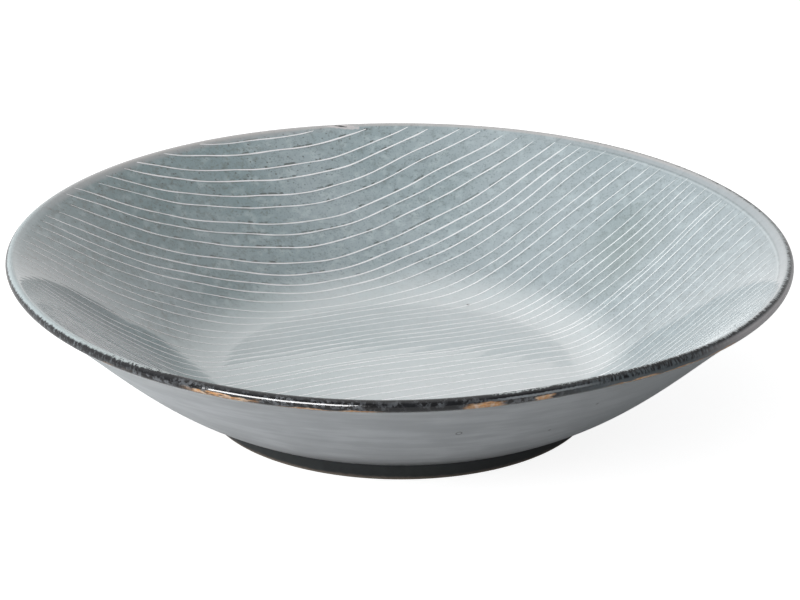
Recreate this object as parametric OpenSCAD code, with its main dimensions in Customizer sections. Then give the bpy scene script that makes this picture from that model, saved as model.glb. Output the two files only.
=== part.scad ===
// Stoneware soup plate in millimetres, up is +Z, the foot rests on Z = 0.
// One fired clay body carries five fused glaze coats, and each coat shares its inner face with the clay.

/* [Plate] */
// Diameter over the rim
plate_d = 225; // [180:1:300]
// Height from the table to the top of the lip
plate_h = 48; // [38:0.5:64]
// Radius of the round lip, which is also half the thickness of the rim
lip_r = 1.65; // [1.3:0.05:2.6]
// Slope of both wall faces where they run into the lip, in degrees
lip_slope = 34; // [26:0.5:42]

/* [Outside wall] */
// Radius of the corner where the foot meets the wall
foot_r = 56.45; // [46:0.25:66]
// Height of that corner above the table
foot_h = 5.1; // [4:0.1:8]
// Slope of the wall as it leaves the foot, in degrees
wall_slope = 19.7; // [12:0.1:28]
// How far the low slope is felt, as a share of the run of the wall
wall_low_share = 0.464; // [0.3:0.002:0.6]
// How far the lip slope is felt, as a share of the run of the wall
wall_high_share = 0.313; // [0.2:0.001:0.45]
// Radius of the small hollow between foot and wall
waist_fillet = 1; // [0.6:0.1:2]

/* [Well] */
// Radius of the flat floor
floor_r = 50.3; // [42:0.1:56]
// Height of the floor above the table
floor_h = 9.4; // [8:0.1:12]
// Thickness of the wall near the foot, from which it thins to the lip
wall_t = 5.4; // [4:0.1:7]
// Where the hollow around the floor has run into the wall, as a share of the wall
hollow_end_share = 0.376; // [0.25:0.002:0.5]
// Softness of that hollow, as a share of the distance it spans
hollow_soft_share = 0.34; // [0.2:0.01:0.5]

/* [Foot ring] */
// Thickness of the ring, clay only
ring_w = 6; // [4.4:0.1:9]
// Height of the recess under the floor, clay only
recess_h = 4.2; // [3.4:0.1:5]
// Radius inside the corner of the recess, clay only
recess_fillet = 2.4; // [1.4:0.1:3]
// Radius of the turned edge on the outer side of the ring
ring_outer_edge = 1.1; // [0.5:0.1:1.8]
// Radius of the turned edge on the inner side of the ring
ring_inner_edge = 0.9; // [0.5:0.1:1.8]

/* [Glaze] */
// Thickness of every glaze coat
coat_t = 0.4; // [0.25:0.05:0.6]
// How far the dark rim coat reaches down the outside, along the wall from the lip
band_out = 0.7; // [0.3:0.05:3]
// How far the dark rim coat reaches over the top of the lip, in degrees from level outward
band_over = 100; // [92:1:115]

/* [Preview] */
// Sides of the round shapes in the preview
round_sides = 160; // [24:4:240]
// Straight steps along each long wall curve
wall_steps = 36; // [16:1:60]
// Turn of each straight step around the lip and along the small roundings, in degrees
small_turn = 8; // [4:0.5:20]

/* [Hidden] */

// Every section point is [radius, height].
// Cubic curve from a to b, which leaves towards q1 and arrives from q2, and its way at a point.
function cubic(a, b, q1, q2, t) =
    pow(1 - t, 3) * a + 3 * pow(1 - t, 2) * t * q1 + 3 * (1 - t) * t * t * q2 + pow(t, 3) * b;
function cubic_way(a, b, q1, q2, t) =
    3 * pow(1 - t, 2) * (q1 - a) + 6 * (1 - t) * t * (q2 - q1) + 3 * t * t * (b - q2);
function way(slope) = [cos(slope), sin(slope)];
function left_of(v) = [-v[1], v[0]] / norm(v);
function eased(t) = t * t * (3 - 2 * t);

// Corner of foot and wall, and the hollow that rounds it.
waist_reach = waist_fillet / tan((90 + wall_slope) / 2);
waist_c = [foot_r + waist_fillet, foot_h - waist_reach];
wall_start = [foot_r, foot_h] + waist_reach * way(wall_slope);

// The lip is one circle, and both wall faces are tangent to it.
lip_c = [plate_d / 2 - lip_r, plate_h - lip_r];
wall_end = lip_c - lip_r * left_of(way(lip_slope));

wall_run = wall_end[0] - wall_start[0];
wall_q1 = wall_start + wall_run * wall_low_share * way(wall_slope);
wall_q2 = wall_end - wall_run * wall_high_share * way(lip_slope);

// A point of the outside wall at a share of its curve, set into the clay by inset.
function wall_at(t, inset) =
    cubic(wall_start, wall_end, wall_q1, wall_q2, t)
    + inset * left_of(cubic_way(wall_start, wall_end, wall_q1, wall_q2, t));
function wall_pts(inset) = [for (i = [0:wall_steps]) wall_at(band_share * i / wall_steps, inset)];
function band_pts(inset) = [wall_at(band_share, inset), wall_at((1 + band_share) / 2, inset), wall_at(1, inset)];

// The inner face of the wall follows the outside at a thickness that eases from wall_t to the lip's.
function thickness_at(t) = wall_t + (2 * lip_r - wall_t) * eased(t);
function inner_at(t, inset) = wall_at(t, thickness_at(t) - inset);

// A hollow joins that face to the flat floor, tangent to both.
nudge_share = 0.001;
hollow_end = inner_at(hollow_end_share, 0);
hollow_way = inner_at(hollow_end_share + nudge_share, 0) - inner_at(hollow_end_share - nudge_share, 0);
hollow_start = [floor_r, floor_h];
hollow_reach = norm(hollow_end - hollow_start) * hollow_soft_share;
hollow_q1 = hollow_start + hollow_reach * way(0);
hollow_q2 = hollow_end - hollow_reach * hollow_way / norm(hollow_way);
function hollow_at(t, inset) =
    cubic(hollow_start, hollow_end, hollow_q1, hollow_q2, t)
    - inset * left_of(cubic_way(hollow_start, hollow_end, hollow_q1, hollow_q2, t));

// Points of the well from the lip down to the floor, set into the clay by inset.
inner_steps = ceil(wall_steps * (1 - hollow_end_share));
hollow_steps = wall_steps - inner_steps;
function well_pts(inset) = concat(
    [for (i = [0:inner_steps - 1]) inner_at(1 - (1 - hollow_end_share) * i / inner_steps, inset)],
    [for (i = [0:hollow_steps]) hollow_at(1 - i / hollow_steps, inset)]
);

// Points on a circle, from one angle to another.
function arc_steps(a0, a1) = ceil(abs(a1 - a0) / small_turn);
function arc_pts(c, r, a0, a1) = [
    for (i = [0:arc_steps(a0, a1)]) c + r * way(a0 + (a1 - a0) * i / arc_steps(a0, a1))
];
function reversed(list) = [for (i = [len(list) - 1:-1:0]) list[i]];

// The dark coat ends on the wall a little below the lip.
band_share = 1 - band_out / (3 * wall_run * wall_high_share);
lip_out_a = lip_slope - 90;
lip_in_a = lip_slope + 90;

// The dark part of the lip is split at its widest and its highest point, so the size over the rim is true.
function lip_dark_pts(inset) = concat(
    arc_pts(lip_c, lip_r - inset, lip_out_a, 0),
    arc_pts(lip_c, lip_r - inset, 0, 90),
    arc_pts(lip_c, lip_r - inset, 90, band_over)
);
function lip_pale_pts(inset) = arc_pts(lip_c, lip_r - inset, band_over, lip_in_a);
function waist_pts(inset) = arc_pts(waist_c, waist_fillet + inset, 180, 90 + wall_slope);

// Clay faces of the foot ring, and the height where the glaze on its outer side ends.
ring_out = foot_r - coat_t;
ring_in = ring_out - ring_w;
bare_h = ring_outer_edge;
bare_in_h = ring_inner_edge;
recess_c = [ring_in - recess_fillet, recess_h - recess_fillet];
function recess_pts(out) = arc_pts(recess_c, recess_fillet - out, 0, 90);

function clay_profile() = concat(
    [[0, recess_h]],
    reversed(recess_pts(0)),
    arc_pts([ring_in + ring_inner_edge, ring_inner_edge], ring_inner_edge, 180, 270),
    arc_pts([ring_out - ring_outer_edge, ring_outer_edge], ring_outer_edge, 270, 360),
    waist_pts(coat_t),
    wall_pts(coat_t),
    band_pts(coat_t),
    lip_dark_pts(coat_t),
    lip_pale_pts(coat_t),
    well_pts(coat_t),
    [[0, floor_h - coat_t]]
);

module stoneware_body() {
    color([0.45, 0.42, 0.39])
    rotate_extrude($fn = round_sides)
    polygon(clay_profile());
}

module inner_glaze() {
    color([0.68, 0.74, 0.76])
    rotate_extrude($fn = round_sides)
    polygon(concat(
        lip_pale_pts(0),
        well_pts(0),
        [[0, floor_h], [0, floor_h - coat_t]],
        reversed(well_pts(coat_t)),
        reversed(lip_pale_pts(coat_t))
    ));
}

module rim_glaze() {
    color([0.16, 0.19, 0.22])
    rotate_extrude($fn = round_sides)
    polygon(concat(
        band_pts(0),
        lip_dark_pts(0),
        reversed(lip_dark_pts(coat_t)),
        reversed(band_pts(coat_t))
    ));
}

module outer_glaze() {
    color([0.58, 0.6, 0.61])
    rotate_extrude($fn = round_sides)
    polygon(concat(
        wall_pts(0),
        reversed(wall_pts(coat_t))
    ));
}

module foot_glaze() {
    color([0.2, 0.22, 0.23])
    rotate_extrude($fn = round_sides)
    polygon(concat(
        [[ring_out, bare_h], [foot_r, bare_h]],
        waist_pts(0),
        reversed(waist_pts(coat_t))
    ));
}

module base_glaze() {
    color([0.3, 0.33, 0.34])
    rotate_extrude($fn = round_sides)
    polygon(concat(
        [[ring_in, bare_in_h]],
        recess_pts(0),
        [[0, recess_h], [0, recess_h - coat_t]],
        reversed(recess_pts(coat_t)),
        [[ring_in - coat_t, bare_in_h]]
    ));
}

stoneware_body();
inner_glaze();
rim_glaze();
outer_glaze();
foot_glaze();
base_glaze();
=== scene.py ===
# Looks of the stoneware soup plate: turned meshes for the clay and its coats, raised slip lines, a plain studio.
import math
import random
from types import SimpleNamespace

import bmesh
import bpy
import numpy as np
from mathutils import Matrix, Vector


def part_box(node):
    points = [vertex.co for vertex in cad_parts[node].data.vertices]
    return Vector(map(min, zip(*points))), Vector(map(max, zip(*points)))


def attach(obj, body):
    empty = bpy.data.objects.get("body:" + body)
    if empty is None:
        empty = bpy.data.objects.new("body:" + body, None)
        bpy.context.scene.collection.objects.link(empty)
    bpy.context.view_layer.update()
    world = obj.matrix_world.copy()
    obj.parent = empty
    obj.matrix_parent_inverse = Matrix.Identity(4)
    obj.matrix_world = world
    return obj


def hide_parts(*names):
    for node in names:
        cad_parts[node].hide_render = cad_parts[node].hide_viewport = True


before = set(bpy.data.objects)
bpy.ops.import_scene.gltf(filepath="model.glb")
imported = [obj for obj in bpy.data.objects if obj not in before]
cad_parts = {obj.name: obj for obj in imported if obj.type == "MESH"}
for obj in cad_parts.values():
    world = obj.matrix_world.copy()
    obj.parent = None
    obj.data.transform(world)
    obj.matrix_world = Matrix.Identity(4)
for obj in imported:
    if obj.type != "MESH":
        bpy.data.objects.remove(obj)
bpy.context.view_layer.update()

MM = 0.001

# Section of the plate in mm. The driving sizes are those of the part's source.
PLATE_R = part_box("rim_glaze")[1].x / MM
PLATE_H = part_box("rim_glaze")[1].z / MM
LIP_R = 1.65
LIP_SLOPE = 34.0
FOOT_R = 56.45
FOOT_H = 5.1
WALL_SLOPE = 19.7
WALL_LOW_SHARE = 0.464
WALL_HIGH_SHARE = 0.313
WAIST_FILLET = 1.0
FLOOR_R = 50.3
FLOOR_H = 9.4
WALL_T = 5.4
HOLLOW_END = 0.376
HOLLOW_SOFT = 0.34
NUDGE = 0.001
RING_W = 6.0
RECESS_H = 4.2
RECESS_FILLET = 2.4
RING_OUTER_EDGE = 1.1
RING_INNER_EDGE = 0.9
COAT_T = 0.4
BAND_OUT = 0.7
BAND_OVER = 100.0

# Fineness of the turned meshes: steps around, steps along seen, hidden and narrow faces, and degrees on round edges
TURNS = 384
WALL_STEPS = 72
HIDDEN_STEPS = 24
BAND_STEPS = 2
LIP_STEP = 6.0

# Edges that turn by more than these degrees stay sharp, and points that are nearer than this in mm are merged.
SHARP_EDGE = 35.0
MERGE = 0.01

# Points on the line through the middle of the wall, which parts its outside from its inside
MID_STEPS = 40

# Rings from a flat face's edge to its middle, on its seen and its hidden side
FLOOR_RINGS = 52
FLOOR_HIDDEN_RINGS = 6
RECESS_RINGS = 12
RECESS_HIDDEN_RINGS = 4

# The hand-made rim dips most a little left of the front, in mm, degrees and waves around.
RIM_DIP = 0.65
RIM_DIP_AT = -16.0
RIM_WAVES = 2.6

# It carries a small ripple all around, and lifts on the right of the front.
RIPPLE = 0.12
RIPPLE_WAVES = 5
RIPPLE_SHIFT = 1.0
RIGHT_LIFT = 0.95
RIGHT_LIFT_AT = 27.0
RIGHT_LIFT_REACH = 17.0

# Raised slip lines: their turn in plan, the gap between them, and how often and how much a gap is closer
LINE_TURN = 22.5
LINE_GAP = 3.85
LINE_GAP_SPREAD = 0.95
CLOSE_GAP_CHANCE = 0.06
CLOSE_GAP_SHARE = 0.45
LINE_MARGIN = 6.0
LINE_SEED = 11

# All lines bow alike. Each drift of the hand has a height, a wave's reach along and across the lines, and a shift.
LINE_BOW = 2.2
LINE_BOW_REACH = 80.0
LINE_DRIFTS = ((0.65, 20.0, 36.0, -0.9), (0.4, 9.5, -14.0, 0.0), (0.12, 3.7, 2.9, 0.0))

# Rounds in which a point settles on its swaying line
SETTLING_ROUNDS = 4

# A bead's radius, how deep its middle is sunk in the glaze, and the step along it, in mm
LINE_R = 0.46
LINE_SINK = 0.395
LINE_STEP = 1.8

# How round its section is, the fewest points that make a line, and how far each way the slope is read, in mm
LINE_ROUNDING = 4
LINE_LEAST_POINTS = 5
SLOPE_REACH = 0.5

# Plan radius where a line starts on the left and ends on the right, each with its least and most stray, in mm
LINE_START = (107.0, -2.5, 1.8)
LINE_END = (109.5, -0.6, 0.4)

# How much sooner a line ends for each mm that it is to the right
LINE_END_LEAN = 0.011

# Lines on the far side start further out, by this much, from one line coordinate on and in full this much later
FAR_START = 2.4
FAR_START_FROM = 30.0
FAR_START_OVER = 30.0

# A bead's weight, the share and steps in which each tip swells, and its wobbles: share, turn for each step, shift
LINE_WEIGHT = (0.78, 1.12)
LEFT_TIP = (0.4, 5)
RIGHT_TIP = (0.35, 3)
LINE_WOBBLES = ((0.1, 0.9, 1), (0.08, 0.37, 2))

# The comb was pressed harder on the near left: how much, then where it begins and over how many mm it grows
PRESS = 0.35
PRESS_NEAR = (25.0, 40.0)
PRESS_LEFT = (70.0, 30.0)

# Depth of the scallop that the comb left between lines, in mm
SCALLOP = 0.01

# Widths of the finest grains in mm. Real iron grain is under 0.2 mm and real grog under 0.5 mm, so both are drawn
# coarser than they are, to show.
IRON_GRAIN = 0.6
GROG = 0.8

# Where, in metres, the dark glaze is thickest and runs over the crest of the lip, and how far around that it does
THICK_RIM = (-0.020, -0.110, 0.047)
THICK_RIM_REACH = (0.047, 0.036)

# Edges of the dark band in mm down the section from the lip's crest, before they wander
BAND_TOP = -0.15
BAND_FOOT = 4.2

# Stretches of the band and of the shoulder inside it: where each begins and where it is full, in metres to the right
BAND_LEFT = (-0.055, -0.095)
BAND_RIGHT = (0.035, 0.06)
BAND_FAR_RIGHT = (0.076, 0.098)
SPATTER_SPAN = ((0.014, 0.022), (0.064, 0.05))
BREAK_SPAN = ((0.02, 0.03), (0.056, 0.046))
SHOULDER_LEFT = (-0.06, -0.105)
SHOULDER_RIGHT = (0.03, 0.08)

# The same for stretches that are measured to the back
BAND_FRONT = (-0.07, -0.09)
BAND_NOT_FRONT = (-0.09, -0.07)

# Turned grooves in the shoulder on the right, painted as a dark line of shade and a pale line of highlight: mm inward
# from the crest, and colour
PAINTED_GROOVE_LINES = ((2.8, "#717a7c"), (3.5, "#bcc5c8"))

# Where the lip's glaze breaks to tan: degrees around from the front, length in mm, how high up the lip, how solid
TAN_PLACES = (
    (11.5, 12.0, 2.5, 0.75),
    (19.2, 6.0, 2.6, 0.6),
    (-24.5, 24.0, 2.5, 0.1),
    (-9.0, 30.0, 3.7, 0.5),
    (41.5, 54.0, 3.35, 0.8),
)

# How far the ends of those places fray, in mm
TAN_FRAY = 7.0

# Heights in metres between which the floor's look gives way to the wall's
WALL_FADE = (FLOOR_H * MM + 0.0006, 0.0175)

# Dark patches in the well: place and reach in mm, seen from above, then strength and colour. The first is a drift of
# the glaze's own colour, and the two on the left are a painted dark reflection on the left wall.
CLOUDS_AND_REFLECTION = (
    (66.0, 52.0, 20.0, 0.4, "#6f807a"),
    (-90.0, -9.0, 28.0, 0.65, "#45545a"),
    (-68.0, -16.0, 18.0, 0.35, "#56656a"),
)

# Marks the kiln left, seen from above: place in mm and radius
IRON_SPECK = (20.9, 51.1, 0.55)
RIM_SPOT = (-18.9, 108.4, 0.3)
OUTSIDE_PIT = (15.8, -93.6, 0.75)
OUTSIDE_SPECKS = ((40.4, -78.8, 0.4), (52.6, -84.7, 0.45))

# The spot on the rim is drawn out along it, and its pale halo, a painted highlight, is wider than the spot.
RIM_SPOT_STRETCH = 7.0
RIM_SPOT_HIGHLIGHT = 3

rng = random.Random(LINE_SEED)


# ---- Section curves: every point is [radius, height] in mm ----


def way(angle):
    return np.array([math.cos(math.radians(angle)), math.sin(math.radians(angle))])


def left_of(v):
    return np.array([-v[1], v[0]]) / math.hypot(v[0], v[1])


def cubic(a, b, q1, q2, t):
    return (1 - t) ** 3 * a + 3 * (1 - t) ** 2 * t * q1 + 3 * (1 - t) * t * t * q2 + t**3 * b


def cubic_way(a, b, q1, q2, t):
    return 3 * (1 - t) ** 2 * (q1 - a) + 6 * (1 - t) * t * (q2 - q1) + 3 * t * t * (b - q2)


waist_reach = WAIST_FILLET / math.tan(math.radians((90 + WALL_SLOPE) / 2))
waist_c = np.array([FOOT_R + WAIST_FILLET, FOOT_H - waist_reach])
wall_start = np.array([FOOT_R, FOOT_H]) + waist_reach * way(WALL_SLOPE)
lip_c = np.array([PLATE_R - LIP_R, PLATE_H - LIP_R])
wall_end = lip_c - LIP_R * left_of(way(LIP_SLOPE))
well_end = lip_c + LIP_R * left_of(way(LIP_SLOPE))
wall_run = wall_end[0] - wall_start[0]
wall_q1 = wall_start + wall_run * WALL_LOW_SHARE * way(WALL_SLOPE)
wall_q2 = wall_end - wall_run * WALL_HIGH_SHARE * way(LIP_SLOPE)
band_share = 1 - BAND_OUT / (3 * wall_run * WALL_HIGH_SHARE)
lip_out_a = LIP_SLOPE - 90
lip_in_a = LIP_SLOPE + 90
ring_out = FOOT_R - COAT_T
ring_in = ring_out - RING_W
recess_c = np.array([ring_in - RECESS_FILLET, RECESS_H - RECESS_FILLET])


def wall_at(t, inset):
    """A point of the outside wall, set into the clay by inset."""
    curve = (wall_start, wall_end, wall_q1, wall_q2, t)
    return cubic(*curve) + inset * left_of(cubic_way(*curve))


def inner_at(t, inset):
    """A point of the wall's inner face, set into the clay by inset."""
    eased = t * t * (3 - 2 * t)
    return wall_at(t, WALL_T + (2 * LIP_R - WALL_T) * eased - inset)


hollow_start = np.array([FLOOR_R, FLOOR_H])
hollow_end = inner_at(HOLLOW_END, 0)
hollow_way = inner_at(HOLLOW_END + NUDGE, 0) - inner_at(HOLLOW_END - NUDGE, 0)
hollow_reach = np.linalg.norm(hollow_end - hollow_start) * HOLLOW_SOFT
hollow_q1 = hollow_start + hollow_reach * way(0)
hollow_q2 = hollow_end - hollow_reach * hollow_way / np.linalg.norm(hollow_way)


def hollow_at(t, inset):
    """A point of the hollow between floor and wall, set into the clay by inset."""
    curve = (hollow_start, hollow_end, hollow_q1, hollow_q2, t)
    return cubic(*curve) - inset * left_of(cubic_way(*curve))


def arc(centre, radius, a0, a1):
    """Points on a circle from one angle to another."""
    count = max(2, math.ceil(abs(a1 - a0) / LIP_STEP))
    return [centre + radius * way(a0 + (a1 - a0) * i / count) for i in range(count + 1)]


def wall_pts(t0, t1, inset, steps=WALL_STEPS):
    return [wall_at(t0 + (t1 - t0) * i / steps, inset) for i in range(steps + 1)]


def well_pts(inset, steps=WALL_STEPS):
    """Points of the well from the lip down to the edge of the floor."""
    low = steps // 3
    wall = [inner_at(1 - (1 - HOLLOW_END) * i / steps, inset) for i in range(steps)]
    return wall + [hollow_at(1 - i / low, inset) for i in range(low + 1)]


def flat_pts(height, reach, rings):
    """Points from a flat face's edge to its middle."""
    return [np.array([reach * (1 - i / rings), height]) for i in range(1, rings + 1)]


# ---- Slip lines: where each one runs, seen from above in mm ----

along_x, along_y = way(LINE_TURN)


def line_sway(u, v):
    """How far the hand drifted from a straight line."""
    drift = sum(height * np.sin(u / along + v / across + shift) for height, along, across, shift in LINE_DRIFTS)
    return LINE_BOW * (u / LINE_BOW_REACH) ** 2 + drift


def line_coordinate(x, y):
    """Across the lines, with their common sway taken out, so that one value names one line."""
    u, v = x * along_x + y * along_y, -x * along_y + y * along_x
    return v + line_sway(u, v)


def line_places():
    """The coordinate of every line, from near to far, with uneven gaps and some close pairs."""
    places = [-PLATE_R]
    while places[-1] < PLATE_R + LINE_MARGIN:
        gap = LINE_GAP + rng.uniform(-LINE_GAP_SPREAD, LINE_GAP_SPREAD)
        if rng.random() < CLOSE_GAP_CHANCE:
            gap = LINE_GAP * CLOSE_GAP_SHARE
        places.append(places[-1] + gap)
    return np.array(places)


LINES = line_places()


# ---- Heights and ways over the surface, in mm ----


def hand_lift(x, y, z):
    """How far the thrown rim lifts from a true circle. It fades to nothing at the foot."""
    from_front = np.arctan2(x, -y)
    dip = RIM_DIP * np.cos(RIM_WAVES * (from_front - math.radians(RIM_DIP_AT))) * np.cos(from_front / 2) ** 2
    ripple = RIPPLE * np.sin(RIPPLE_WAVES * from_front + RIPPLE_SHIFT)
    from_right_lift = (np.degrees(from_front) - RIGHT_LIFT_AT) / RIGHT_LIFT_REACH
    lift = ripple - dip + RIGHT_LIFT * np.exp(-(from_right_lift**2))
    return lift * np.clip(z / PLATE_H, 0, 1) ** 2


well_section = np.array(well_pts(0)[::-1])


def well_height(radius):
    """Height of the well's glazed face at a radius."""
    return np.interp(radius, np.r_[0.0, well_section[:, 0]], np.r_[FLOOR_H, well_section[:, 1]])


mid_wall = np.array([(wall_at(t, 0) + inner_at(t, 0)) / 2 for t in np.linspace(0, 1, MID_STEPS)])


def lip_way(r, z):
    """Distance along the section from the crest of the lip, positive down the outside."""
    out_r, out_z = r - lip_c[0], z - lip_c[1]
    angle = np.degrees(np.arctan2(out_z, out_r))
    around = np.radians(90 - angle) * LIP_R
    down_out = math.radians(90 - lip_out_a) * LIP_R + np.hypot(r - wall_end[0], z - wall_end[1])
    down_in = math.radians(90 - lip_in_a) * LIP_R - np.hypot(r - well_end[0], z - well_end[1])
    on_lip = (angle >= lip_out_a) & (angle <= lip_in_a) & (np.hypot(out_r, out_z) < 2 * LIP_R)
    outside = z < np.interp(r, *mid_wall.T)
    return np.where(on_lip, around, np.where(outside, down_out, down_in))


# ---- Meshes ----


def placed(name, data):
    """A new object at the origin, in the scene."""
    made = bpy.data.objects.new(name, data)
    bpy.context.scene.collection.objects.link(made)
    return made


def turned(name, outline, material, turns=TURNS):
    """Spins a closed outline about the plate's axis, then lays the hand's unevenness on it.

    Each point keeps its count of slip lines and its way along the section from the lip, which the glazes read.
    """
    shape = bmesh.new()
    corners = [shape.verts.new((r * MM, 0, z * MM)) for r, z in outline]
    rails = [shape.edges.new(pair) for pair in zip(corners, corners[1:] + corners[:1])]
    bmesh.ops.spin(
        shape,
        geom=corners + rails,
        cent=(0, 0, 0),
        axis=(0, 0, 1),
        angle=math.pi / 2,
        steps=turns // 4,
    )
    quarter = shape.verts[:] + shape.edges[:] + shape.faces[:]
    for quarters in (1, 2, 3):
        copied = bmesh.ops.duplicate(shape, geom=quarter)["geom"]
        bmesh.ops.rotate(
            shape,
            verts=[part for part in copied if isinstance(part, bmesh.types.BMVert)],
            cent=(0, 0, 0),
            matrix=Matrix.Rotation(quarters * math.pi / 2, 3, "Z"),
        )
    bmesh.ops.remove_doubles(shape, verts=shape.verts[:], dist=MERGE * MM)
    bmesh.ops.recalc_face_normals(shape, faces=shape.faces[:])
    mesh = bpy.data.meshes.new(name)
    shape.to_mesh(mesh)
    shape.free()
    mesh.materials.append(material)

    places = np.empty(len(mesh.vertices) * 3)
    mesh.vertices.foreach_get("co", places)
    x, y, z = places.reshape(-1, 3).T / MM
    for layer, values in (
        ("line_count", np.interp(line_coordinate(x, y), LINES, np.arange(len(LINES)))),
        ("lip_way", lip_way(np.hypot(x, y), z)),
    ):
        mesh.attributes.new(layer, "FLOAT", "POINT").data.foreach_set("value", values)
    places[2::3] += hand_lift(x, y, z) * MM
    mesh.vertices.foreach_set("co", places)
    mesh.polygons.foreach_set("use_smooth", [True] * len(mesh.polygons))
    mesh.set_sharp_from_angle(angle=math.radians(SHARP_EDGE))
    mesh.update()
    return placed(name, mesh)


def held(value):
    """Keeps a share between 0 and 1."""
    return min(1.0, max(0.0, value))


def line_points(place, start_r, end_r):
    """Points on the glaze along one line from left to right, each with how deep a bead of size 1 is sunk there."""
    points = []
    for u in np.arange(-PLATE_R, PLATE_R, LINE_STEP):
        v = place
        for _ in range(SETTLING_ROUNDS):
            v = place - line_sway(u, v)
        x, y = u * along_x - v * along_y, u * along_y + v * along_x
        r = math.hypot(x, y)
        if r < (start_r if u < 0 else end_r - LINE_END_LEAN * max(0.0, x)):
            slope = (well_height(r + SLOPE_REACH) - well_height(r - SLOPE_REACH)) / (2 * SLOPE_REACH)
            z = float(well_height(r))
            points.append((x, y, z + float(hand_lift(x, y, z)), LINE_SINK * math.hypot(1, slope)))
    return points


def bead_size(place, weight, i, last, x, y):
    """A bead's size at one of its points: tapered at both tips, unsteady, and fuller on the near left."""
    taper = min(1.0, LEFT_TIP[0] + i / LEFT_TIP[1], RIGHT_TIP[0] + (last - i) / RIGHT_TIP[1])
    wobble = 1 + sum(share * math.sin(i * turn + shift * place) for share, turn, shift in LINE_WOBBLES)
    pressed = held((PRESS_NEAR[0] - y) / PRESS_NEAR[1]) * held((PRESS_LEFT[0] - x) / PRESS_LEFT[1])
    return weight * taper * wobble * (1 + PRESS * pressed)


def slip_lines(name, material):
    """One fine bead for every line, sunk in the glaze so that only a thin cap of it shows."""
    curve = bpy.data.curves.new(name, "CURVE")
    curve.dimensions = "3D"
    curve.bevel_depth = LINE_R * MM
    curve.bevel_resolution = LINE_ROUNDING
    curve.use_fill_caps = True
    for place in LINES:
        start_r = LINE_START[0] + rng.uniform(*LINE_START[1:])
        end_r = LINE_END[0] + rng.uniform(*LINE_END[1:])
        weight = rng.uniform(*LINE_WEIGHT)
        start_r += FAR_START * held((place - FAR_START_FROM) / FAR_START_OVER)
        points = line_points(place, start_r, end_r)
        if len(points) < LINE_LEAST_POINTS:
            continue
        line = curve.splines.new("POLY")
        line.points.add(len(points) - 1)
        for i, (x, y, z, sink) in enumerate(points):
            size = bead_size(place, weight, i, len(points) - 1, x, y)
            line.points[i].co = (x * MM, y * MM, (z - size * sink) * MM, 1)
            line.points[i].radius = size
    path = placed(name + "_path", curve)
    mesh = bpy.data.meshes.new_from_object(path.evaluated_get(bpy.context.evaluated_depsgraph_get()))
    bpy.data.objects.remove(path)
    mesh.materials.clear()
    mesh.materials.append(material)
    mesh.polygons.foreach_set("use_smooth", [True] * len(mesh.polygons))
    return placed(name, mesh)


# ---- Patterns for materials ----
# A share says how far something holds, from 0 to 1. It is a number, a node's output, or a value with the two bounds
# between which it fades in smoothly, and after them the least and most that it then gives, where not 0 and 1.

SMOOTH = {"interpolation_type": "SMOOTHSTEP"}
RAYS = ("Is Camera Ray", "Is Glossy Ray", "Is Transmission Ray")


def tone(hex_code):
    """An sRGB hex colour as linear RGBA."""
    parts = [int(hex_code[i : i + 2], 16) / 255 for i in (1, 3, 5)]
    return tuple(c / 12.92 if c <= 0.04045 else ((c + 0.055) / 1.055) ** 2.4 for c in parts) + (1.0,)


def add(tree, kind, *values, out=None, **named):
    """Adds a node and gives its first open output, or the output or outputs that out names.

    Values fill its open inputs in order. A named value goes to the input of that name, or in lower case to a setting.
    Another node's output is linked, and a hex colour is turned to linear.
    """
    made = tree.nodes.new("ShaderNode" + kind)
    for name, value in named.items():
        if name.islower():
            setattr(made, name, value)
    filled = list(zip([socket for socket in made.inputs if socket.enabled], values))
    filled += [(made.inputs[name.replace("_", " ")], named[name]) for name in named if not name.islower()]
    for socket, value in filled:
        if isinstance(value, bpy.types.NodeSocket):
            tree.links.new(value, socket)
        else:
            socket.default_value = tone(value) if isinstance(value, str) else value
    if isinstance(out, tuple):
        return [made.outputs[name] for name in out]
    return made.outputs[out] if out else next((socket for socket in made.outputs if socket.enabled), None)


def new_material(name):
    """A material with an empty tree."""
    material = bpy.data.materials.new(name)
    material.use_nodes = True
    material.node_tree.nodes.clear()
    return material, material.node_tree


def coordinates(tree):
    """A point's place in metres, whole and then as parts to the right, to the back and up."""
    place = add(tree, "TexCoord", out="Object")
    return place, *add(tree, "SeparateXYZ", place, out=("X", "Y", "Z"))


def per_mm(size):
    """Texture scale, in Object coordinates, for a grain of this many mm."""
    return 1 / (size * MM)


def patches(tree, place, grain, low, high, **noise):
    """Ragged patches with grains of this many mm. They fade in between two levels of the noise."""
    cloud = add(tree, "TexNoise", place, per_mm(grain), **noise)
    return add(tree, "MapRange", cloud, low, high, **SMOOTH)


def total(tree, start, *weighed):
    """A start value plus each value times its weight."""
    for value, weight in weighed:
        start = add(tree, "Math", value, weight, start, operation="MULTIPLY_ADD")
    return start


def overlap(tree, *shares):
    """How far all the shares hold at once."""
    whole = None
    for share in shares:
        if isinstance(share, tuple):
            share = add(tree, "MapRange", *share, **SMOOTH)
        whole = share if whole is None else add(tree, "Math", whole, share, operation="MULTIPLY")
    return whole


def washed(tree, colour, tint, *shares):
    """Lays a tint over a colour as far as all the shares hold."""
    return add(tree, "Mix", overlap(tree, *shares), colour, tint, data_type="RGBA")


def specks(tree, place, cell, radius, chance):
    """Round iron specks, 1 inside a speck. Cells and radius are in mm, and chance is the share of cells with one."""
    away, pick = add(tree, "TexVoronoi", Vector=place, Scale=per_mm(cell), out=("Distance", "Color"))
    chosen = add(tree, "Math", add(tree, "SeparateColor", pick), chance, operation="LESS_THAN")
    return overlap(tree, (away, radius / cell, radius / cell * 0.4), chosen)


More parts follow.
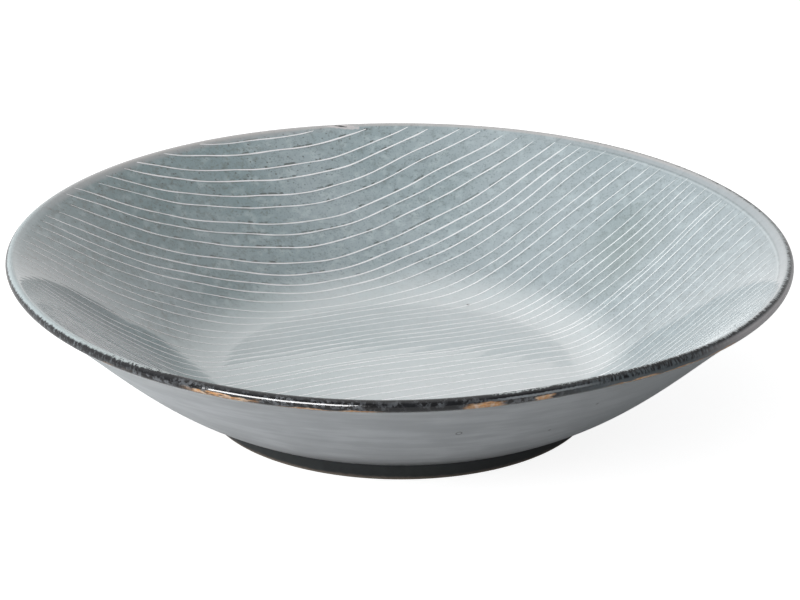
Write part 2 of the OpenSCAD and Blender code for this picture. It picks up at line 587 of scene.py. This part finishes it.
def plan_distance(tree, place, x, y, stretch=1.0):
    """Distance in metres from a point given in mm, seen from above. Stretch makes it count less to the right."""
    flat = add(tree, "VectorMath", place, (1 / stretch, 1, 0), operation="MULTIPLY")
    return add(tree, "VectorMath", flat, (x / stretch * MM, y * MM, 0), operation="DISTANCE")


def mark(tree, place, x, y, radius, stretch=1.0):
    """1 inside a small ragged mark."""
    fray = add(tree, "TexNoise", place, per_mm(0.8))
    off = total(tree, plan_distance(tree, place, x, y, stretch), (fray, radius * MM))
    return overlap(tree, (off, 1.6 * radius * MM, 1.2 * radius * MM))


# ---- The lip's iron-dark band ----


def lip_of(tree, place, right, back):
    """What the lip's patterns read: where a point is, its way down the section, and patterns drawn out each way."""
    along = add(tree, "Attribute", attribute_name="lip_way", out="Fac")
    flat = add(tree, "VectorMath", place, (1, 1, 0), operation="MULTIPLY")
    flat = add(tree, "VectorMath", flat, operation="NORMALIZE")
    flat = add(tree, "VectorMath", flat, PLATE_R * MM, operation="SCALE")
    down = add(tree, "CombineXYZ", Z=add(tree, "Math", along, MM, operation="MULTIPLY"))
    around = add(tree, "VectorMath", flat, down, operation="ADD")
    drawn_down = add(tree, "Mapping", around, Scale=(1, 1, 0.3))
    return SimpleNamespace(
        place=place,
        right=right,
        back=back,
        along=along,
        flat=flat,
        around=around,
        drawn_down=drawn_down,
        drawn_along=add(tree, "Mapping", around, Scale=(0.2, 0.2, 1)),
        streak=add(tree, "TexNoise", drawn_down, per_mm(0.75), Detail=3.0, Roughness=0.65),
        on_left=add(tree, "MapRange", right, *BAND_LEFT, **SMOOTH),
        on_right=add(tree, "MapRange", right, *BAND_RIGHT, **SMOOTH),
        in_front=add(tree, "MapRange", back, *BAND_FRONT, **SMOOTH),
    )


def iron_band(tree, lip):
    """1 inside the band, and how far below its upper edge a point is, in mm. That edge wanders and is ragged."""
    from_thickest = add(tree, "VectorMath", lip.place, THICK_RIM, operation="DISTANCE")
    over_crest = add(tree, "MapRange", from_thickest, *THICK_RIM_REACH, **SMOOTH)
    wander = add(tree, "TexNoise", lip.place, per_mm(24.0), Detail=1.0)
    top = total(tree, BAND_TOP, (wander, 1.2), (over_crest, -1.5), (lip.on_left, 0.7), (lip.on_right, -0.3))
    below_top = add(tree, "Math", lip.along, top, operation="SUBTRACT")

    # Its glaze ran down unevenly, frayed more on the right, and shed flecks in front and a fine spatter beside them.
    feathered = overlap(tree, total(tree, -0.5, (lip.streak, 1.0)), lip.on_right)
    flecks = overlap(tree, patches(tree, lip.around, 0.6, 0.52, 0.66, Detail=3.0, Roughness=0.6), lip.in_front)
    ragged = total(tree, below_top, (lip.streak, 1.5), (feathered, 2.5), (flecks, 1.5))
    spatter = overlap(
        tree,
        (lip.right, *SPATTER_SPAN[0]),
        (lip.right, *SPATTER_SPAN[1]),
        lip.in_front,
        (lip.along, -2.8, -1.9),
        patches(tree, lip.drawn_along, 0.32, 0.53, 0.57, Detail=3.0, Roughness=0.6),
    )
    inside = add(tree, "Math", overlap(tree, (ragged, 0.45, 1.1)), spatter, operation="MAXIMUM")
    wander = add(tree, "TexNoise", lip.place, per_mm(9.0))
    above_foot = total(tree, BAND_FOOT, (wander, 0.5), (lip.on_right, -0.55), (lip.along, -1.0))
    return overlap(tree, inside, (above_foot, -0.08, 0.1)), below_top


def tan_breaks(tree, lip):
    """Where the band breaks to tan: thin runs behind the front, and the named places along its lower edge."""
    grain = patches(tree, lip.drawn_along, 0.5, 0.34, 0.54)
    runs = patches(tree, lip.drawn_along, 2.6, 0.6, 0.68)
    tan = overlap(tree, runs, (lip.back, *BAND_NOT_FRONT), grain, (lip.along, 2.4, 2.9))
    uneven = add(tree, "TexNoise", lip.drawn_along, per_mm(1.3))
    height = total(tree, -1.0, (lip.along, 1.0), (uneven, 2.0))
    fray = add(tree, "TexNoise", lip.drawn_along, per_mm(1.5))
    for angle, length, top, solid in TAN_PLACES:
        out, side = PLATE_R * MM * way(angle)
        off = add(tree, "VectorMath", lip.flat, (side, -out, 0), operation="DISTANCE")
        off = total(tree, off, (fray, TAN_FRAY * MM))
        near = (off, (TAN_FRAY / 2 + length / 2) * MM, (TAN_FRAY / 2 + length / 3.5) * MM)
        broken = overlap(tree, near, total(tree, solid, (grain, 1 - solid)), (height, top - 0.2, top + 0.25))
        tan = add(tree, "Math", tan, broken, operation="MAXIMUM")
    return tan


def band_colour(tree, lip, below_top):
    """Black where the glaze is thick. It breaks to grey lower down, is combed at both sides and breaks to tan."""
    depth = add(tree, "TexNoise", lip.drawn_down, per_mm(0.8), Detail=3.0)
    dark = washed(tree, "#040507", "#191b20", depth)
    crystals = patches(tree, lip.around, 1.3, 0.46, 0.6, Detail=3.0, Roughness=0.6)
    thin = (total(tree, below_top, (lip.streak, 2.2)), 1.9, 3.6)
    broken = washed(tree, "#121214", "#5f6266", crystals)
    dark = washed(tree, dark, broken, thin, patches(tree, lip.place, 8.0, 0.34, 0.6))

    combed = patches(tree, lip.drawn_down, 0.6, 0.52, 0.66, Detail=3.0, Roughness=0.65)
    dark = washed(tree, dark, "#848c90", combed, (lip.along, 1.2, 3.2, 0.35, 0.9), lip.on_left)
    combed = patches(tree, lip.drawn_down, 0.7, 0.42, 0.6, Detail=3.0, Roughness=0.65)
    combed = overlap(tree, combed, (lip.along, 0.2, 1.6))
    combed = add(tree, "Math", combed, overlap(tree, (lip.along, 1.9, 2.7)), operation="MAXIMUM")
    dark = washed(tree, dark, "#5d666b", combed, lip.on_right, 0.85)

    # A paler line where the glaze broke, then the far right, where it is thinnest
    off_break = add(tree, "Math", total(tree, -2.2, (lip.along, 1.0), (lip.streak, 0.5)), operation="ABSOLUTE")
    span = [(lip.right, *bounds) for bounds in BREAK_SPAN]
    dark = washed(tree, dark, "#8d9397", (off_break, 0.4, 0.15), *span, 0.8)
    dark = washed(tree, dark, "#c0bdbf", (lip.right, *BAND_FAR_RIGHT), (lip.along, 0.8, 1.8))
    tan = washed(tree, "#c9935f", "#d9bfa4", patches(tree, lip.around, 1.2, 0.4, 0.65, Detail=3.0))
    return washed(tree, dark, tan, tan_breaks(tree, lip))


def thinned_shoulder(tree, lip, colour):
    """The coat pulls thin over the shoulder: cool and pale on the left, greyer on the right, with turned grooves
    painted there as lines of shade and highlight.
    """
    on_left, on_right = (lip.right, *SHOULDER_LEFT), (lip.right, *SHOULDER_RIGHT)
    back_left = ((lip.right, -0.01, -0.05), (lip.back, 0.02, 0.05))
    uneven = add(tree, "TexNoise", lip.place, per_mm(3.0))
    shoulder = (total(tree, lip.along, (uneven, 1.2)), -2.6, -0.6)
    colour = washed(tree, colour, "#9fb0b4", shoulder, on_left, 0.6)
    colour = washed(tree, colour, "#9ba2a6", (lip.along, -3.0, -2.4), on_right, 0.7)
    colour = washed(tree, colour, "#a5a3a4", (lip.along, -3.6, -1.6), *back_left, 0.6)
    # The grooves are not modelled: their shade and highlight are painted as a dark and a pale line.
    for inward, painted_groove_tone in PAINTED_GROOVE_LINES:
        off_painted_groove = add(tree, "Math", total(tree, inward, (lip.along, 1.0)), operation="ABSOLUTE")
        colour = washed(tree, colour, painted_groove_tone, (off_painted_groove, 0.45, 0.1), on_right, 0.45)
    crest = ((lip.along, -1.7, -0.8), (lip.along, 2.6, 1.6))
    return washed(tree, colour, "#b9b5b3", *crest, (lip.back, 0.03, 0.09, 0.1, 0.7))


def iron_rim(tree, lip, colour):
    """Lays the lip's look over a coat's colour, so that it runs unbroken over the joints between coats."""
    band, below_top = iron_band(tree, lip)
    return washed(tree, thinned_shoulder(tree, lip, colour), band_colour(tree, lip, below_top), band)


# ---- Glaze and clay ----


def reactive_glaze():
    """Reactive stoneware glaze, brushed on and fired to a gloss.

    The eye sees a wet, cloudy blue-grey that turns green-grey and speckled on the wall, where it ran thin. Shade is
    painted on the left of the well and in front of each raised line, and a dark reflection is painted on the left wall.
    """
    material, tree = new_material("reactive stoneware glaze")
    place, right, back, up = coordinates(tree)
    lip = lip_of(tree, place, right, back)
    wall = add(tree, "MapRange", up, *WALL_FADE, **SMOOTH)
    # The glaze drifts from green-grey on the left to blue-grey on the right. The left is also painted darker, as
    # painted shade on the wall that faces away from the lamps.
    drift = add(tree, "TexNoise", place, per_mm(45.0), Detail=1.0)
    drift = add(tree, "MapRange", total(tree, drift, (right, 3.2)), 0.09, 0.7, **SMOOTH)
    wall_tone = washed(tree, "#6b8488", "#98a5aa", drift)
    colour = washed(tree, washed(tree, "#b0bfc1", "#c7cfd1", drift), wall_tone, wall)
    colour = washed(tree, colour, "#bfcdd0", patches(tree, place, 3.3, 0.48, 0.74, Detail=1.5), 0.3)
    billow = add(tree, "TexNoise", place, per_mm(14.0))
    # The first patch is the glaze's own cloud; the two on the left are a painted dark reflection.
    for x, y, reach, amount, patch_tone in CLOUDS_AND_REFLECTION:
        off = total(tree, plan_distance(tree, place, x, y), (billow, 0.02))
        colour = washed(tree, colour, patch_tone, (off, (reach + 12) * MM, reach * MM * 0.4), amount)
    thin = total(tree, 0.06, (wall, total(tree, 0.62, (drift, -0.46))))
    mottle = patches(tree, place, 2.4, 0.47, 0.66, Detail=5.0, Roughness=0.72)
    colour = washed(tree, colour, "#56625f", mottle, thin)

    # Painted shade lies in front of each raised line as a soft dark band, and iron gathers beside the lines in crisp
    # dashes.
    step = add(tree, "Math", add(tree, "Attribute", attribute_name="line_count", out="Fac"), operation="FRACT")
    shade = patches(tree, place, 4.5, 0.38, 0.56, Detail=3.0)
    less_right, less_on_floor = total(tree, 1.0, (drift, -0.5)), total(tree, 0.12, (wall, 0.8))
    below_lip = (lip.along, -3.0, -7.0)
    colour = washed(tree, colour, "#46524f", (step, 0.74, 0.97), shade, below_lip, less_right, less_on_floor)
    off_middle = add(tree, "Math", total(tree, -0.5, (step, 1.0)), operation="ABSOLUTE")
    dashes = patches(tree, place, 3.4, 0.53, 0.62, Detail=3.0, Roughness=0.6)
    colour = washed(tree, colour, "#3d4846", (off_middle, 0.36, 0.43), dashes, wall, (right, 0.06, -0.02, 0.35, 0.9))

    # It also shows as fine grain and as specks, which are thickest beside the lines and on the upper left.
    grain = patches(tree, place, IRON_GRAIN, 0.56, 0.68)
    colour = washed(tree, colour, "#3f4a49", grain, total(tree, 0.05, (wall, 0.24)))
    colour = washed(tree, colour, "#2c3130", specks(tree, place, cell=9.0, radius=0.3, chance=0.12), 0.85)
    beside = specks(tree, place, cell=2.6, radius=0.42, chance=0.4)
    colour = washed(tree, colour, "#333c3c", (step, 0.7, 0.9), wall, 0.65, beside)
    upper_left = ((up, 0.026, 0.04), (right, 0.02, -0.04))
    thick = specks(tree, place, cell=1.7, radius=0.4, chance=0.7)
    colour = washed(tree, colour, "#2b3232", *upper_left, thick, 0.8)
    colour = washed(tree, colour, "#20242a", mark(tree, place, *IRON_SPECK))
    colour = iron_rim(tree, lip, colour)
    x, y, radius = RIM_SPOT
    # A painted highlight round the kiln mark on the rim
    spot_highlight = mark(tree, place, x, y, RIM_SPOT_HIGHLIGHT * radius, RIM_SPOT_STRETCH)
    colour = washed(tree, colour, "#cfc8c8", spot_highlight, 0.7)
    colour = washed(tree, colour, "#2b2d2f", mark(tree, place, *RIM_SPOT, RIM_SPOT_STRETCH))

    # The comb left a shallow scallop between lines, over a slow unevenness of the glaze.
    wave = total(tree, -1.0, (step, 2.0))
    relief = total(tree, 0.0, (wave, wave), (add(tree, "TexNoise", place, per_mm(9.0), Detail=1.0), 1.5))
    normal = add(tree, "Bump", Strength=1.0, Distance=SCALLOP * MM, Height=relief)
    surface = add(
        tree,
        "BsdfPrincipled",
        Base_Color=colour,
        Roughness=0.035,
        IOR=1.55,
        Normal=normal,
        Coat_Weight=0.9,
        Coat_Roughness=0.015,
        Coat_IOR=1.5,
        Coat_Normal=normal,
    )
    add(tree, "OutputMaterial", surface)
    return material


def lip_glaze():
    """Iron-rich glaze, dipped on the lip and fired to a gloss.

    The eye sees black with a wet glint, which turns satin on the right, where it crystallised.
    """
    material, tree = new_material("iron-dark lip glaze")
    place, right, back, _ = coordinates(tree)
    lip = lip_of(tree, place, right, back)
    colour = iron_rim(tree, lip, "#aab3b4")
    runs = add(tree, "TexNoise", lip.drawn_down, per_mm(1.4), Detail=1.0)
    relief = total(tree, add(tree, "TexNoise", place, per_mm(2.0)), (runs, 1.0))
    normal = add(tree, "Bump", Strength=1.0, Distance=0.02 * MM, Height=relief)
    mirror = add(tree, "MapRange", right, *SHOULDER_RIGHT, 0.5, 0.18, **SMOOTH)
    surface = add(
        tree,
        "BsdfPrincipled",
        Base_Color=colour,
        Roughness=0.1,
        IOR=1.5,
        Specular_IOR_Level=mirror,
        Normal=normal,
    )
    add(tree, "OutputMaterial", surface)
    return material


def grey_glaze():
    """Satin grey glaze, wiped on while the plate turned.

    The eye sees soft level streaks, with a pit and a few specks, and shade painted darker towards the foot.
    """
    material, tree = new_material("satin grey glaze")
    place, right, back, up = coordinates(tree)
    level = add(tree, "Mapping", place, Scale=(0.12, 0.12, 1.0))
    streaks = patches(tree, level, 2.2, 0.35, 0.65, Detail=3.0)
    colour = washed(tree, "#b1b6ba", "#bec3c7", patches(tree, place, 15.0, 0.35, 0.65, Detail=3.0))
    colour = washed(tree, colour, "#969ca1", streaks, 0.5)
    # Painted shade: darker towards the foot, low down where little light reaches under the plate.
    colour = washed(tree, colour, "#474b4e", (up, 0.018, 0.007, 0.0, 0.85))
    colour = washed(tree, colour, "#35383a", specks(tree, place, cell=14.0, radius=0.35, chance=0.15), 0.7)
    for spot in OUTSIDE_SPECKS:
        colour = washed(tree, colour, "#2e3133", mark(tree, place, *spot))
    x, y, radius = OUTSIDE_PIT
    off_edge = add(tree, "Math", plan_distance(tree, place, x, y), radius * MM, operation="SUBTRACT")
    off_edge = add(tree, "Math", off_edge, operation="ABSOLUTE")
    colour = washed(tree, colour, "#3c4043", (off_edge, 0.3 * MM, 0.1 * MM, 0.0, 0.75))
    colour = iron_rim(tree, lip_of(tree, place, right, back), colour)
    normal = add(tree, "Bump", Strength=0.6, Distance=0.02 * MM, Height=streaks)
    add(tree, "OutputMaterial", add(tree, "BsdfPrincipled", Base_Color=colour, Roughness=0.3, IOR=1.5, Normal=normal))
    return material


def iron_wash():
    """Iron wash, brushed on the foot and fired. The eye sees a satin near-black, worn to brown at its lower edge."""
    material, tree = new_material("iron wash")
    place, _, _, up = coordinates(tree)
    colour = washed(tree, "#1d2021", "#323637", add(tree, "TexNoise", place, per_mm(3.0), Detail=3.0))
    from_edge = total(tree, up, (add(tree, "TexNoise", place, per_mm(2.5)), 0.0008))
    colour = washed(tree, colour, "#57504a", (from_edge, 0.0021, 0.0014))
    add(tree, "OutputMaterial", add(tree, "BsdfPrincipled", Base_Color=colour, Roughness=0.4, IOR=1.5))
    return material


def bare_stoneware():
    """Bare fired stoneware, wiped clean of glaze. The eye sees matt grey-brown clay with fine grog."""
    material, tree = new_material("bare stoneware")
    place = add(tree, "TexCoord", out="Object")
    grog = add(tree, "TexNoise", place, per_mm(GROG), Detail=3.0, Roughness=0.7)
    colour = washed(tree, "#5d564e", "#8a8176", grog)
    normal = add(tree, "Bump", Strength=0.8, Distance=0.05 * MM, Height=grog)
    add(tree, "OutputMaterial", add(tree, "BsdfPrincipled", Base_Color=colour, Roughness=0.85, IOR=1.45, Normal=normal))
    return material


def white_slip():
    """White slip, combed on under clear glaze. The eye sees pale glossy threads, greyer where they were laid thin."""
    material, tree = new_material("white slip")
    place, right, _, up = coordinates(tree)
    colour = washed(tree, "#f6f5f7", "#dde3e5", (right, -0.05, 0.08))
    colour = washed(tree, colour, "#bdc7c9", patches(tree, place, 11.0, 0.5, 0.72), 0.4)
    colour = washed(tree, colour, "#f8fafb", (up, 0.016, 0.011))
    add(tree, "OutputMaterial", add(tree, "BsdfPrincipled", Base_Color=colour, Roughness=0.2, IOR=1.5))
    return material


reactive = reactive_glaze()
iron = lip_glaze()
grey = grey_glaze()
foot_wash = iron_wash()
clay = bare_stoneware()
slip = white_slip()

# ---- Pieces ----

lip_pale = [arc(lip_c, LIP_R - inset, BAND_OVER, lip_in_a) for inset in (0, COAT_T)]
lip_dark = [arc(lip_c, LIP_R - inset, lip_out_a, BAND_OVER) for inset in (0, COAT_T)]
waist = [arc(waist_c, WAIST_FILLET + inset, 180, 90 + WALL_SLOPE) for inset in (0, COAT_T)]

inner_glaze = turned(
    "glazed_well",
    lip_pale[0]
    + well_pts(0)[1:]
    + flat_pts(FLOOR_H, FLOOR_R, FLOOR_RINGS)
    + flat_pts(FLOOR_H - COAT_T, FLOOR_R, FLOOR_HIDDEN_RINGS)[::-1]
    + well_pts(COAT_T, HIDDEN_STEPS)[::-1]
    + lip_pale[1][::-1][1:],
    reactive,
)
rim_glaze = turned(
    "dark_lip",
    wall_pts(band_share, 1, 0, BAND_STEPS)
    + lip_dark[0][1:]
    + lip_dark[1][::-1]
    + wall_pts(1, band_share, COAT_T, BAND_STEPS)[1:],
    iron,
)
outer_glaze = turned(
    "glazed_outside",
    wall_pts(0, band_share, 0) + wall_pts(band_share, 0, COAT_T, HIDDEN_STEPS),
    grey,
)
foot_glaze = turned(
    "foot_wash",
    [np.array([ring_out, RING_OUTER_EDGE]), np.array([FOOT_R, RING_OUTER_EDGE])] + waist[0] + waist[1][::-1],
    foot_wash,
)
base_glaze = turned(
    "glazed_recess",
    [np.array([ring_in, RING_INNER_EDGE])]
    + arc(recess_c, RECESS_FILLET, 0, 90)
    + flat_pts(RECESS_H, recess_c[0], RECESS_HIDDEN_RINGS)
    + flat_pts(RECESS_H - COAT_T, recess_c[0], RECESS_RINGS)[::-1]
    + arc(recess_c, RECESS_FILLET - COAT_T, 90, 0)
    + [np.array([ring_in - COAT_T, RING_INNER_EDGE])],
    grey,
    turns=TURNS // 2,
)
clay_body = turned(
    "clay",
    [np.array([0.0, RECESS_H])]
    + arc(recess_c, RECESS_FILLET, 90, 0)
    + arc(np.array([ring_in + RING_INNER_EDGE, RING_INNER_EDGE]), RING_INNER_EDGE, 180, 270)
    + arc(np.array([ring_out - RING_OUTER_EDGE, RING_OUTER_EDGE]), RING_OUTER_EDGE, 270, 360)
    + waist[1]
    + wall_pts(0, 1, COAT_T, HIDDEN_STEPS)[1:]
    + arc(lip_c, LIP_R - COAT_T, lip_out_a, lip_in_a)[1:]
    + well_pts(COAT_T, HIDDEN_STEPS)[1:]
    + [np.array([0.0, FLOOR_H - COAT_T])],
    clay,
    turns=TURNS // 2,
)
lines = slip_lines("slip_lines", slip)

for piece, node_name in (
    (inner_glaze, "inner_glaze"),
    (rim_glaze, "rim_glaze"),
    (outer_glaze, "outer_glaze"),
    (foot_glaze, "foot_glaze"),
    (base_glaze, "base_glaze"),
    (clay_body, "stoneware_body"),
):
    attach(piece, "root")
    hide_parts(node_name)
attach(lines, "root")

# ---- Studio ----

# The camera's distance from the middle of the rim in metres, its angles in degrees, and its lens and film in mm
CAMERA_AWAY = 1.0
CAMERA_RISE = 20.70
CAMERA_DROP = 0.872
CAMERA_ROLL = 0.24
CAMERA_SWING = 0.00014
CAMERA_LENS = 156.97
CAMERA_FILM = 36.0

# Lamps: place, aim, width and depth in metres, then watts
KEY_LEFT = ((-0.95, -0.75, 0.5), (0, 0, 0.03), 0.9, 0.6, 11.5)
SIDE_LEFT = ((-1.25, 0.1, 0.8), (0, 0, 0.02), 1.1, 0.9, 8.5)
LIP_GLINT = ((-0.64, -0.987, 0.45), (0, 0, 0.045), 0.84, 0.5, 34.0)

# World light on the plate from the left and the right, its gain near the table, and what mirrors see in front
FILL_LEFT = 0.58
FILL_RIGHT = 0.3
FILL_LOW = 1.5
MIRRORED_FRONT = 0.25

# The floor's lift for the camera, its radius in metres, its sides, and how far it lies under the foot in mm
FLOOR_LIFT = 0.87
FLOOR_REACH = 4.0
FLOOR_SIDES = 64
FLOOR_DROP = 0.02

camera_data = bpy.data.cameras.new("camera")
camera_data.lens = CAMERA_LENS
camera_data.sensor_width = CAMERA_FILM
camera = placed("camera", camera_data)
bpy.context.scene.camera = camera
rise = math.radians(CAMERA_RISE)
camera.location = (0, -CAMERA_AWAY * math.cos(rise), PLATE_H * MM + CAMERA_AWAY * math.sin(rise))
look_down = math.radians(CAMERA_RISE + CAMERA_DROP)
toward = Vector((CAMERA_SWING, math.cos(look_down), -math.sin(look_down)))
camera.rotation_euler = toward.to_track_quat("-Z", "Y").to_euler()
camera.rotation_euler.rotate_axis("Z", math.radians(CAMERA_ROLL))


def soft_light(name, place, aim, width, depth, watts):
    """A rectangular lamp."""
    data = bpy.data.lights.new(name, "AREA")
    data.shape = "RECTANGLE"
    data.size = width
    data.size_y = depth
    data.energy = watts
    lamp = placed(name, data)
    lamp.location = place
    lamp.rotation_euler = (Vector(aim) - Vector(place)).to_track_quat("-Z", "Y").to_euler()
    return lamp


soft_light("key_left", *KEY_LEFT).visible_glossy = False
soft_light("side_left", *SIDE_LEFT).visible_glossy = False

# The glint on the lip lights nothing else, so that the well mirrors no lamp.
glint = soft_light("lip_glint", *LIP_GLINT)
glint.visible_diffuse = False
lip_only = bpy.data.collections.new("lip_glint_receivers")
lip_only.objects.link(rim_glaze)
glint.light_linking.receiver_collection = lip_only


def studio_air():
    """White to the camera, dimmer in front to mirrors, and on the plate a plain fill that falls off to the right."""
    world = bpy.data.worlds.new("studio")
    bpy.context.scene.world = world
    world.use_nodes = True
    air = world.node_tree
    air.nodes.clear()
    camera_ray, glossy_ray, clear_ray = add(air, "LightPath", out=RAYS)
    direction = add(air, "TexCoord", out="Generated")
    right, back, up = add(air, "SeparateXYZ", direction, out=("X", "Y", "Z"))
    mirrored = overlap(air, glossy_ray, (back, -0.5, 0.1, MIRRORED_FRONT, 1.0))
    seen = add(air, "Math", camera_ray, clear_ray, operation="MAXIMUM")
    seen = add(air, "Math", seen, mirrored, operation="MAXIMUM")
    unseen = total(air, 1.0, (add(air, "Math", seen, glossy_ray, operation="MAXIMUM"), -1.0))
    fill = overlap(air, (right, -0.4, 0.8, FILL_LEFT, FILL_RIGHT), (up, 0.0, 0.4, FILL_LOW, 1.0))
    add(air, "OutputWorld", add(air, "Background", "#ffffff", total(air, seen, (unseen, fill))))


def studio_floor():
    """Matt white paint, rolled on. The eye sees plain white with the plate's shadow, and from below nothing."""
    material, tree = new_material("pale studio floor")
    camera_ray, glossy_ray, clear_ray = add(tree, "LightPath", out=RAYS)
    mirrored = add(tree, "Math", glossy_ray, clear_ray, operation="MAXIMUM")
    paint = add(tree, "BsdfDiffuse", Color=washed(tree, "#b4b4b4", "#ececec", mirrored))
    lift = add(tree, "Emission", "#ffffff", overlap(tree, camera_ray, FLOOR_LIFT))
    top = add(tree, "AddShader", paint, lift)
    below = add(tree, "NewGeometry", out="Backfacing")
    add(tree, "OutputMaterial", add(tree, "MixShader", below, top, add(tree, "BsdfTransparent")))
    return material


studio_air()
ground = bmesh.new()
bmesh.ops.create_circle(ground, cap_ends=True, segments=FLOOR_SIDES, radius=FLOOR_REACH)
ground_mesh = bpy.data.meshes.new("floor")
ground.to_mesh(ground_mesh)
ground.free()
ground_mesh.materials.append(studio_floor())
floor = placed("floor", ground_mesh)
floor.location.z = -FLOOR_DROP * MM

bpy.context.scene.view_settings.view_transform = "Standard"
